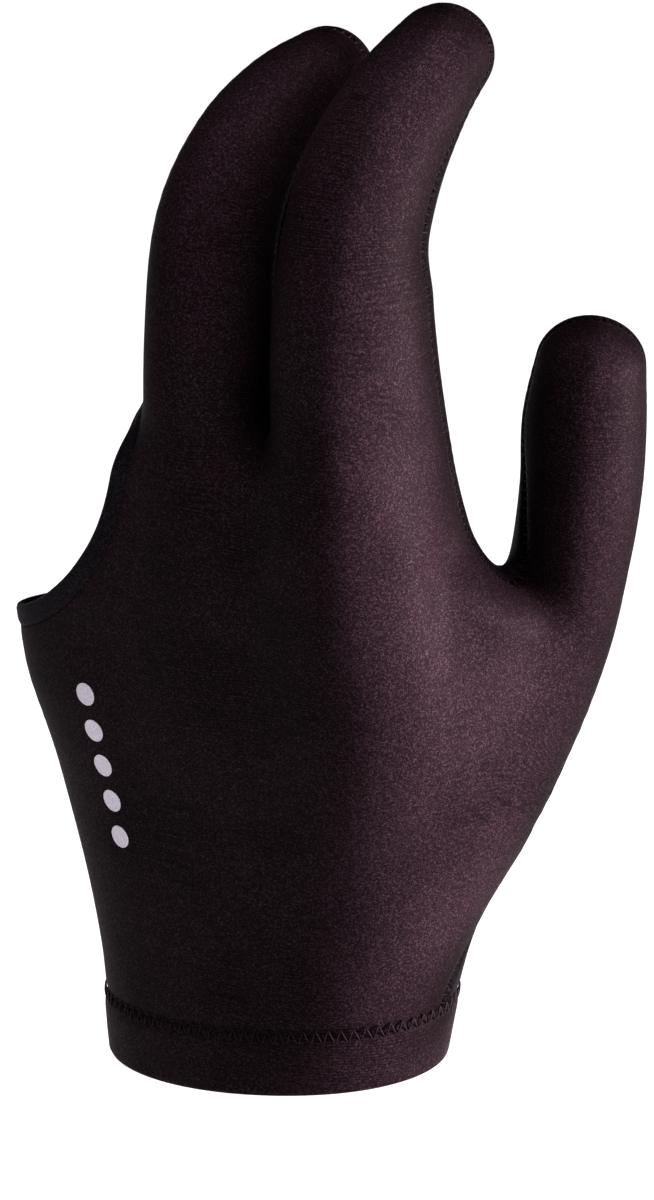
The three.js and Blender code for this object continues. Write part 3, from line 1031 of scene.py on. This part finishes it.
ZIGZAG = {"Pitch": 2.1 * MM, "Height": 2.5 * MM, "Thread": 0.13 * MM, "Arch": 0.3 * MM}
ZIGZAG_BELOW = 0.5  # the middle of the zigzag lies this far under the hem's top
ZIGZAG_CLEAR = 0.1  # and this far out of the skin
GUIDE_MIDDLE = np.array([-1, -1])  # of an oval near the wrist, which is then brought onto the skin
GUIDE_HALVES = np.array([33, 21])
GUIDE_POINTS = 240
turns = np.linspace(0, 2 * math.pi, GUIDE_POINTS, endpoint=False)
zigzag_height = HEM_HEIGHT - ZIGZAG_BELOW
guide = GUIDE_HALVES * np.stack([np.cos(turns), np.sin(turns)], 1) + GUIDE_MIDDLE
guide = np.column_stack([guide, np.full(GUIDE_POINTS, zigzag_height)])
round_wrist = onto_cut(onto_skin(guide, 4), lambda points: above_rim(points) - zigzag_height)
round_wrist += outward(round_wrist) * ZIGZAG_CLEAR
zigzag_line = thread_line("zigzag_line", [round_wrist], closed=True)
hem_zigzag = grown(zigzag_line, zigzag_tree(), {**ZIGZAG, "Finish": black_thread}, "hem_zigzag")

# %% [markdown]
# The seam is sewn from inside. All that shows outside is a short tick of thread across the groove at each
# stitch. One tick is a small arc, and Geometry Nodes set a copy of it at every stitch, turned to the
# groove.

# %% The ticks along the seam


def tick_tree():
    tree, nodes = stitch_tree("seam_ticks", (
        ("Pitch", "NodeSocketFloat"), ("Width", "NodeSocketFloat"), ("Thread", "NodeSocketFloat"),
        ("Depth", "NodeSocketFloat"), ("Finish", "NodeSocketMaterial"),
    ))
    given = nodes.add("NodeGroupInput")
    curve = nodes.add("GeometryNodeMeshToCurve", values={"Mesh": given})
    stations = nodes.add("GeometryNodeCurveToPoints", {"mode": "LENGTH"},
                         {"Curve": curve, "Length": given.out("Pitch")})
    outwards = kept_outward(nodes)
    turn = nodes.add("FunctionNodeAxesToRotation", {"primary_axis": "Z", "secondary_axis": "X"},
                     {"Primary Axis": outwards, "Secondary Axis": stations.out("Tangent")})
    half = given.out("Width") / 2
    start = nodes.add("ShaderNodeCombineXYZ", values={"Y": half * -1})
    top = nodes.add("ShaderNodeCombineXYZ", values={"Z": given.out("Depth")})
    end = nodes.add("ShaderNodeCombineXYZ", values={"Y": half})
    arc = nodes.add("GeometryNodeCurveQuadraticBezier",
                    values={"Resolution": 5, "Start": start, "Middle": top, "End": end})
    tick = swept(nodes, arc, given.out("Thread"), 5, caps=True)
    ticks = nodes.add("GeometryNodeInstanceOnPoints",
                      values={"Points": stations, "Instance": tick, "Rotation": turn})
    give_out(nodes, ticks, given.out("Finish"))
    return tree


TICK = {"Pitch": PUCKER * MM, "Width": 1.1 * MM, "Thread": 0.1 * MM, "Depth": 0.2 * MM}
TICK_LIFT = 0.12  # from the bottom of the groove to the ends of a tick
seam_floor = [path - outward(path) * (SEAM_DEPTH - TICK_LIFT) for path in seam_paths]
seam_line = thread_line("seam_line", seam_floor)
seam_ticks = grown(seam_line, tick_tree(), {**TICK, "Finish": black_thread}, "seam_ticks")

# %% [markdown]
# On the back of the hand, beside the opening, cue gloves carry a small print. Here it is a plain column of
# round dots: thin, flexible ink that follows the cloth. Each dot is a little disc of rings, laid on the
# skin.

# %% The printed dots
DOT_RADIUS = 2.0
DOT_RISE, DOT_SUNK = 0.06, 0.1  # of its upper and its lower face, from the skin
DOT_RINGS = 6
DOT_SPOKES = 36
DOT_FIRST = np.array([-21.3, 66.5])  # x and z of the top dot
DOT_LAST = np.array([-18.5, 40.2])
DOT_COUNT = 5
SEARCH_FROM = -25.0  # y of the points, just off the back of the hand, that are brought onto the skin
WEAVE, WEAVE_RELIEF = 0.35, 0.05


def printed_dots():
    points, faces = [], []
    spokes = np.arange(DOT_SPOKES) * 2 * math.pi / DOT_SPOKES
    for share in np.linspace(0, 1, DOT_COUNT):
        x, z = DOT_FIRST + (DOT_LAST - DOT_FIRST) * share
        middle = onto_skin(np.array([[x, SEARCH_FROM, z]]), 6)
        out = outward(middle)[0]
        side = unit(np.cross([0, 0, 1], out))
        up = np.cross(out, side)
        flat = [middle[0]]
        for ring in range(1, DOT_RINGS + 1):
            radius = DOT_RADIUS * ring / DOT_RINGS
            flat += [middle[0] + radius * (math.cos(a) * side + math.sin(a) * up) for a in spokes]
        start = len(points)
        points += list(onto_skin(np.array(flat), 2))
        for n in range(DOT_SPOKES):
            ahead = (n + 1) % DOT_SPOKES
            faces.append((start, start + 1 + n, start + 1 + ahead))
            for ring in range(DOT_RINGS - 1):
                a, b = start + 1 + ring * DOT_SPOKES, start + 1 + (ring + 1) * DOT_SPOKES
                faces.append((a + n, b + n, b + ahead, a + ahead))
    points = np.array(points)
    out = outward(points)
    top = points + out * DOT_RISE
    under = points - out * DOT_SUNK
    total = len(points)
    below = [tuple(total + a for a in reversed(face)) for face in faces]
    walls = []
    for disc in range(DOT_COUNT):
        first = disc * (1 + DOT_RINGS * DOT_SPOKES) + 1 + (DOT_RINGS - 1) * DOT_SPOKES
        for n in range(DOT_SPOKES):
            a, b = first + n, first + (n + 1) % DOT_SPOKES
            walls.append((a, total + a, total + b, b))
    mesh = bpy.data.meshes.new("print_dots")
    mesh.from_pydata((np.vstack([top, under]) * MM).tolist(), [], [*faces, *below, *walls])
    return placed("print_dots", mesh)


def print_finish():
    finish, nodes = new_finish("pale_print")
    place = nodes.add("ShaderNodeTexCoord", out="Object")
    weave = nodes.noise(place, WEAVE)
    tone = nodes.mixed(nodes.ramp(weave, 0.35, 0.75), (0.5, 0.47, 0.55, 1), (0.64, 0.61, 0.69, 1))
    surface = nodes.add("ShaderNodeBsdfPrincipled", values={
        "Base Color": tone, "Roughness": 0.55, "Specular IOR Level": 0.3,
        "Normal": nodes.bump(weave * WEAVE_RELIEF, 0.7),
    })
    nodes.add("ShaderNodeOutputMaterial", values={"Surface": surface})
    return finish


print_dots = printed_dots()
print_dots.data.materials.append(print_finish())
print("printed dots:", DOT_COUNT)

# %% [markdown]
# The stage is a pale floor under the glove and one soft light at the side of the thumb, as for a catalogue
# picture: the side away from it falls off to near black, which shows how round the limbs are. A weak light
# from above picks out the ridge of the middle finger, and the floor's own glow keeps the dark side
# readable.

# %% Floor, lights and camera
FLOOR_DROP = 18 * MM
FLOOR_HALF = 12.0  # metres
SIGHT = Vector((10.5, -2.4, 82.2)) * MM  # the camera and the lights face this point
AZIMUTH, ELEVATION = math.radians(35), math.radians(17)
DISTANCE = 750 * MM
IMAGE_HEIGHT = 1200
PIXEL = 0.165 * MM  # size of an image pixel at the glove
SENSOR = 36


def seen_from(azimuth, elevation):
    level = math.cos(elevation)
    return Vector((math.sin(azimuth) * level, -math.cos(azimuth) * level, math.sin(elevation)))


def aim(thing, place):
    thing.location = place
    thing.rotation_mode = "QUATERNION"
    thing.rotation_quaternion = (place - SIGHT).to_track_quat("Z", "Y")


camera_data = bpy.data.cameras.new("camera")
camera_data.lens = DISTANCE / (PIXEL * IMAGE_HEIGHT) * SENSOR
camera_data.sensor_width = SENSOR
camera_data.clip_start = 0.05
camera = placed("camera", camera_data)
aim(camera, SIGHT + seen_from(AZIMUTH, ELEVATION) * DISTANCE)
bpy.context.scene.camera = camera


def soft_light(name, azimuth, elevation, distance, size, watts, shade):
    light = bpy.data.lights.new(name, "AREA")
    light.shape = "RECTANGLE"
    light.size, light.size_y = size
    light.energy = watts
    light.color = shade
    away = seen_from(AZIMUTH + math.radians(azimuth), math.radians(elevation)) * distance
    aim(placed(name, light), SIGHT + away)


soft_light("side_light", azimuth=81, elevation=-1, distance=0.9,
           size=(0.3, 0.16), watts=78, shade=(1, 0.8, 0.86))
soft_light("tip_light", azimuth=44, elevation=72, distance=0.7,
           size=(0.3, 0.3), watts=9, shade=(1, 0.84, 0.89))

floor_mesh = bpy.data.meshes.new("floor")
floor_height = cad_low.z - FLOOR_DROP
floor_signs = ((-1, -1), (1, -1), (1, 1), (-1, 1))
floor_corners = [(x * FLOOR_HALF, y * FLOOR_HALF, floor_height) for x, y in floor_signs]
floor_mesh.from_pydata(floor_corners, [], [(0, 1, 2, 3)])
floor = placed("floor", floor_mesh)
floor_finish, floor_nodes = new_finish("pale_floor")
floor_surface = floor_nodes.add("ShaderNodeBsdfPrincipled", values={
    "Base Color": (0.25, 0.25, 0.25, 1), "Roughness": 0.9, "Specular IOR Level": 0.1,
    "Emission Color": (1, 1, 1, 1), "Emission Strength": 0.96,
})
floor_nodes.add("ShaderNodeOutputMaterial", values={"Surface": floor_surface})
floor_mesh.materials.append(floor_finish)

world = bpy.data.worlds.new("studio")
world.use_nodes = True
world.node_tree.nodes["Background"].inputs["Color"].default_value = (1, 1, 1, 1)
world.node_tree.nodes["Background"].inputs["Strength"].default_value = 0.05
bpy.context.scene.world = world
bpy.context.scene.view_settings.view_transform = "Standard"  # keeps black cloth black and the floor white
print("camera lens:", round(camera_data.lens, 1))

# %% [markdown]
# Last, each piece is attached to the body it moves with and, where it stands for a plain solid, that solid
# is hidden.

# %% Attach each piece to its body
pieces = (
    (back_cloth, "back_panel", "back_cloth"),
    (palm_cloth, "palm_panel", "palm_cloth"),
    (wrist_band, "wrist_hem", "hem_cloth"),
    (turned_edge, "opening_hem", "edge_cloth"),
    (hem_zigzag, None, "thread"),
    (seam_ticks, None, "thread"),
    (print_dots, None, "print"),
)
for piece, node, slot in pieces:
    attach(piece, BODY)
    if node:
        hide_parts(node)
